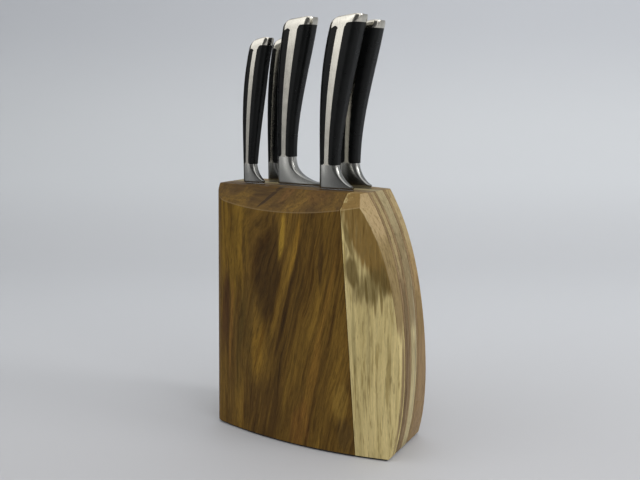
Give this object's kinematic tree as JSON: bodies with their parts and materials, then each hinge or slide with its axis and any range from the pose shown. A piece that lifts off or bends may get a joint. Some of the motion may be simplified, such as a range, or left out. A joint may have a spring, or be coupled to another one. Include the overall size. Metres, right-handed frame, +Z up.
{
  "type": "knife block with knives",
  "caption": "Upright wooden knife block with a curved front and end, holding kitchen knives with black and steel handles in vertical slots.",
  "frame": {"origin": "on the underside of the base pad, below the middle of the curved front face", "axes": "+Z up along the slots, +X along the block's length towards its curved end, -Y towards the wide curved front face"},
  "size_m": [0.1875, 0.0973, 0.3692],
  "materials": {
    "heartwood": "oiled dark brown heartwood with streaks",
    "sapwood": "oiled pale sapwood with grey streaks",
    "spacer_wood": "oiled mid-brown wood",
    "back_wood": "oiled pinkish-brown wood",
    "pad_rubber": "matt black",
    "blade_steel": "fine brushed",
    "bolster_steel": "satin grey with polished edges",
    "cap_steel": "polished, slightly warm stainless steel",
    "black_insert": "satin black"
  },
  "bodies": {
    "block": {"front_board_dark": "heartwood", "front_board_pale": "sapwood", "front_spacer_left": "spacer_wood", "front_spacer_middle": "spacer_wood", "front_spacer_right": "spacer_wood", "inner_board_front": "sapwood", "middle_spacer_left": "spacer_wood", "middle_spacer_right": "spacer_wood", "inner_board_back": "heartwood", "back_spacer_left": "spacer_wood", "back_spacer_middle": "spacer_wood", "back_spacer_right": "spacer_wood", "back_board": "back_wood", "base_pad": "pad_rubber"},
    "utility_knife": {"utility_blade": "blade_steel", "utility_bolster": "bolster_steel", "utility_handle_frame": "cap_steel", "utility_spine_insert": "black_insert", "utility_belly_insert": "black_insert"},
    "paring_knife": {"paring_blade": "blade_steel", "paring_bolster": "bolster_steel", "paring_handle_frame": "cap_steel", "paring_spine_insert": "black_insert", "paring_belly_insert": "black_insert"},
    "chef_knife": {"chef_blade": "blade_steel", "chef_bolster": "bolster_steel", "chef_handle_frame": "cap_steel", "chef_spine_insert": "black_insert", "chef_belly_insert": "black_insert"},
    "carving_knife": {"carving_blade": "blade_steel", "carving_bolster": "bolster_steel", "carving_handle_frame": "cap_steel", "carving_spine_insert": "black_insert", "carving_belly_insert": "black_insert"},
    "bread_knife": {"bread_blade": "blade_steel", "bread_bolster": "bolster_steel", "bread_handle_frame": "cap_steel", "bread_spine_insert": "black_insert", "bread_belly_insert": "black_insert"}
  },
  "joints": [
    {"name": "utility_knife_lift", "type": "slide", "parent": "block", "child": "utility_knife", "axis": [0, 0, 1], "range_m": [0, 0.135]},
    {"name": "paring_knife_lift", "type": "slide", "parent": "block", "child": "paring_knife", "axis": [0, 0, 1], "range_m": [0, 0.1]},
    {"name": "chef_knife_lift", "type": "slide", "parent": "block", "child": "chef_knife", "axis": [0, 0, 1], "range_m": [0, 0.21]},
    {"name": "carving_knife_lift", "type": "slide", "parent": "block", "child": "carving_knife", "axis": [0, 0, 1], "range_m": [0, 0.2]},
    {"name": "bread_knife_lift", "type": "slide", "parent": "block", "child": "bread_knife", "axis": [0, 0, 1], "range_m": [0, 0.21]}
  ]
}
